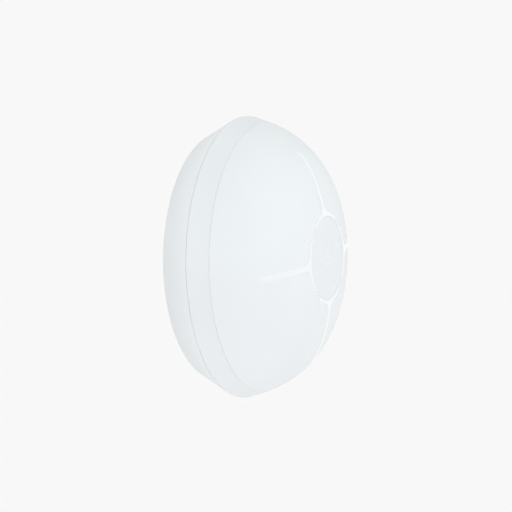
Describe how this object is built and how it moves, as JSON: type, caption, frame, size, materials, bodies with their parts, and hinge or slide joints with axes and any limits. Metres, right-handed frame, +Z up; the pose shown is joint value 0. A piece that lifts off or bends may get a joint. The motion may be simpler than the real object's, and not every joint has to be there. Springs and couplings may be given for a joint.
{
  "type": "motion sensor",
  "caption": "Round white domed wall motion sensor: tapered rear shell, twist-off head, sunken centre lens and anchor-shaped raised light-guide ribs.",
  "frame": {"origin": "middle of the flat mounting face that lies on the wall, midway between the two screw holes", "axes": "+Z up the wall, +X to the right as seen from the room, -Y out of the wall towards the room"},
  "size_m": [0.084, 0.0355, 0.084],
  "materials": {
    "shell_white": "fine satin moulded ABS",
    "dome_white": "smooth satin moulded ABS",
    "rib_opal": "glossy opal polycarbonate",
    "lens_milky": "thin milky polyethylene",
    "seal_rubber": "soft dark rubber",
    "retainer_grey": "moulded plastic",
    "shroud_black": "matt black plastic",
    "can_steel": "drawn nickel-plated can",
    "window_filter": "polished infrared filter",
    "element_ceramic": "sintered ceramic",
    "pin_gold": "gold-plated",
    "board_green": "solder mask over copper",
    "screw_steel": "zinc-plated",
    "chip_black": "moulded epoxy",
    "crystal_steel": "plated lid",
    "capacitor_can": "bare aluminium can",
    "passive_tan": "fired ceramic",
    "shield_tin": "tinned sheet",
    "antenna_wire": "tinned wire",
    "led_clear": "clear epoxy over phosphor",
    "battery_wrap": "shrink sleeve",
    "contact_nickel": "nickel-plated spring steel",
    "plunger_grey": "acetal",
    "pill_carbon": "carbon-filled rubber",
    "spring_steel": "drawn spring wire",
    "switch_black": "moulded nylon"
  },
  "bodies": {
    "base": {"rear_shell": "shell_white"},
    "seal": {"seal_ring": "seal_rubber"},
    "head": {"mid_housing": "shell_white", "front_dome": "dome_white", "light_guide": "rib_opal", "lens_disc": "lens_milky", "lens_retainer": "retainer_grey", "retainer_screws": "screw_steel", "sensor_shroud": "shroud_black", "pir_can": "can_steel", "pir_window": "window_filter", "pir_header": "can_steel", "pir_element": "element_ceramic", "pir_pins": "pin_gold", "main_board": "board_green", "board_screws": "screw_steel", "case_screws": "screw_steel", "microcontroller": "chip_black", "crystal": "crystal_steel", "reservoir_capacitor": "capacitor_can", "board_passives": "passive_tan", "radio_module": "board_green", "radio_shield": "shield_tin", "antenna": "antenna_wire", "status_leds": "led_clear", "battery": "battery_wrap", "battery_contact_plus": "contact_nickel", "battery_contact_minus": "contact_nickel", "tamper_contacts": "pin_gold", "tamper_spring": "spring_steel", "pair_switch": "switch_black"},
    "tamper": {"tamper_plunger": "plunger_grey", "contact_pill": "pill_carbon"},
    "pair_button": {"pair_button": "plunger_grey", "pair_switch_stem": "switch_black"}
  },
  "joints": [
    {"name": "head_twist", "type": "hinge", "parent": "base", "child": "seal", "pos_m": [0, 0, 0], "axis": [0, -1, 0], "range_deg": [0, 90]},
    {"name": "head_lift", "type": "slide", "parent": "seal", "child": "head", "axis": [0, -1, 0], "range_m": [0, 0.009]},
    {"name": "tamper_travel", "type": "slide", "parent": "head", "child": "tamper", "axis": [0, 1, 0], "range_m": [0, 0.0025], "deforming": ["tamper_spring"]},
    {"name": "pair_press", "type": "slide", "parent": "head", "child": "pair_button", "axis": [0, -1, 0], "range_m": [0, 0.0006]}
  ],
  "couplings": [
    {"joint": "head_lift", "follows": "head_twist", "m_per_rad": 0.0057295}
  ]
}
